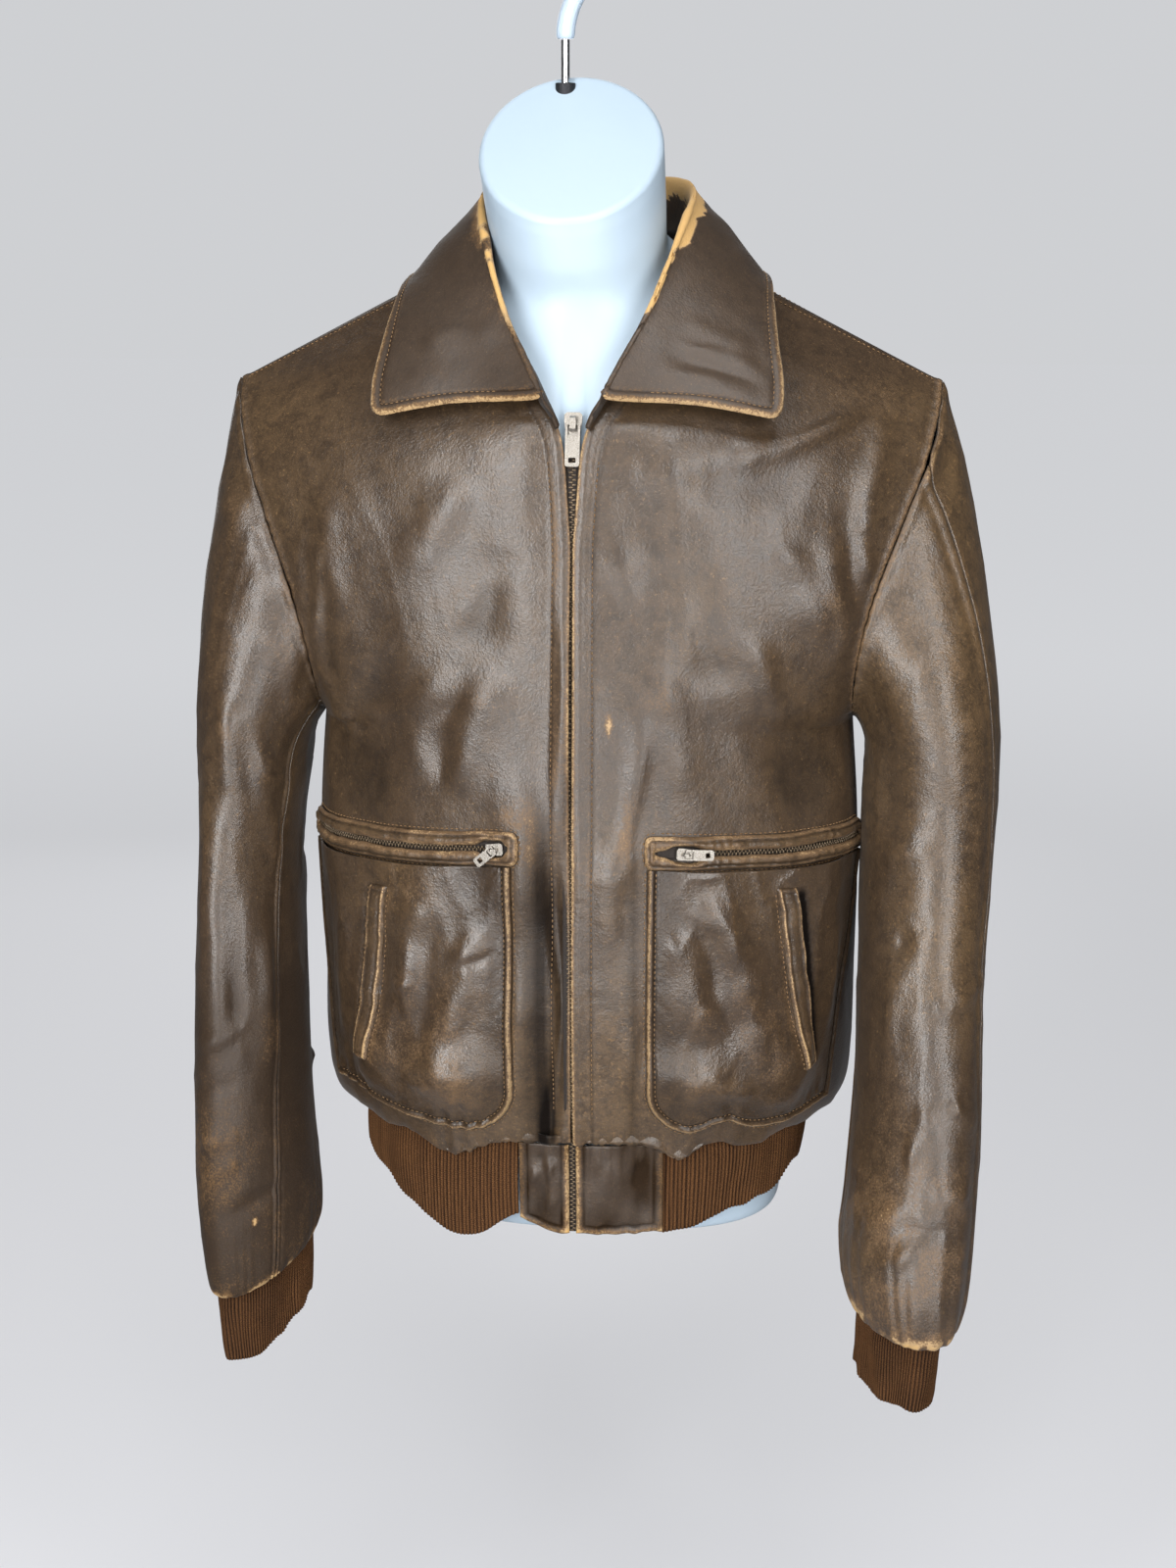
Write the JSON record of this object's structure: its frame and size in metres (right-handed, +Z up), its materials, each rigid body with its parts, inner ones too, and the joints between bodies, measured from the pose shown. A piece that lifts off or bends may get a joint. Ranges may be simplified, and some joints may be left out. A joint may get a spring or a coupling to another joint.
{
  "type": "leather jacket on a hanging torso form",
  "caption": "Worn brown leather flight jacket with knit waistband and cuffs, zipped up on a hanging torso form with a hook.",
  "frame": {"origin": "inside top of the hook's crook, where a rail carries it", "axes": "+Z up; the jacket's front and its zip face -Y; +X is the viewer's right, looking at the front"},
  "size_m": [0.5415, 0.3055, 0.9713],
  "materials": {
    "leather": "worn semi-gloss, scuffed tan at edges",
    "rib_knit": "matte ribbed knit",
    "zip_metal": "antique nickel",
    "form_plastic": "satin, pale bluish white",
    "hook_plastic": "translucent, pale blue",
    "chrome": "polished",
    "dark_metal": "dark satin"
  },
  "bodies": {
    "jacket": {"back": "leather", "front_left": "leather", "front_right": "leather", "sleeve_left_front": "leather", "sleeve_left_back": "leather", "sleeve_right_front": "leather", "sleeve_right_back": "leather", "collar": "leather", "hem_tab_left": "leather", "hem_tab_right": "leather", "pocket_left": "leather", "pocket_right": "leather", "hand_welt_left": "leather", "hand_welt_right": "leather", "chest_welt_left": "leather", "chest_welt_right": "leather", "waist_rib": "rib_knit", "cuff_left": "rib_knit", "cuff_right": "rib_knit", "zip_chain": "zip_metal", "zip_slider": "zip_metal", "pocket_zip_left": "zip_metal", "pocket_zip_right": "zip_metal", "pocket_slider_left": "zip_metal", "pocket_slider_right": "zip_metal", "torso_form": "form_plastic", "hook": "hook_plastic", "hook_stem": "chrome", "hook_socket": "dark_metal"},
    "main_pull": {"zip_pull": "zip_metal"},
    "left_pocket_pull": {"pocket_pull_left": "zip_metal"},
    "right_pocket_pull": {"pocket_pull_right": "zip_metal"}
  },
  "joints": [
    {"name": "main_pull_hinge", "type": "hinge", "parent": "jacket", "child": "main_pull", "pos_m": [0.0165, -0.12746, -0.32405], "axis": [-1, 0, 0], "range_deg": [0, 150]},
    {"name": "left_pocket_pull_hinge", "type": "hinge", "parent": "jacket", "child": "left_pocket_pull", "pos_m": [-0.0327, -0.15288, -0.59333], "axis": [-0.6114, 0.2027, 0.7649], "range_deg": [0, 120]},
    {"name": "right_pocket_pull_hinge", "type": "hinge", "parent": "jacket", "child": "right_pocket_pull", "pos_m": [0.09054, -0.14671, -0.59538], "axis": [-0.062, -0.0647, -0.996], "range_deg": [0, 150]}
  ]
}
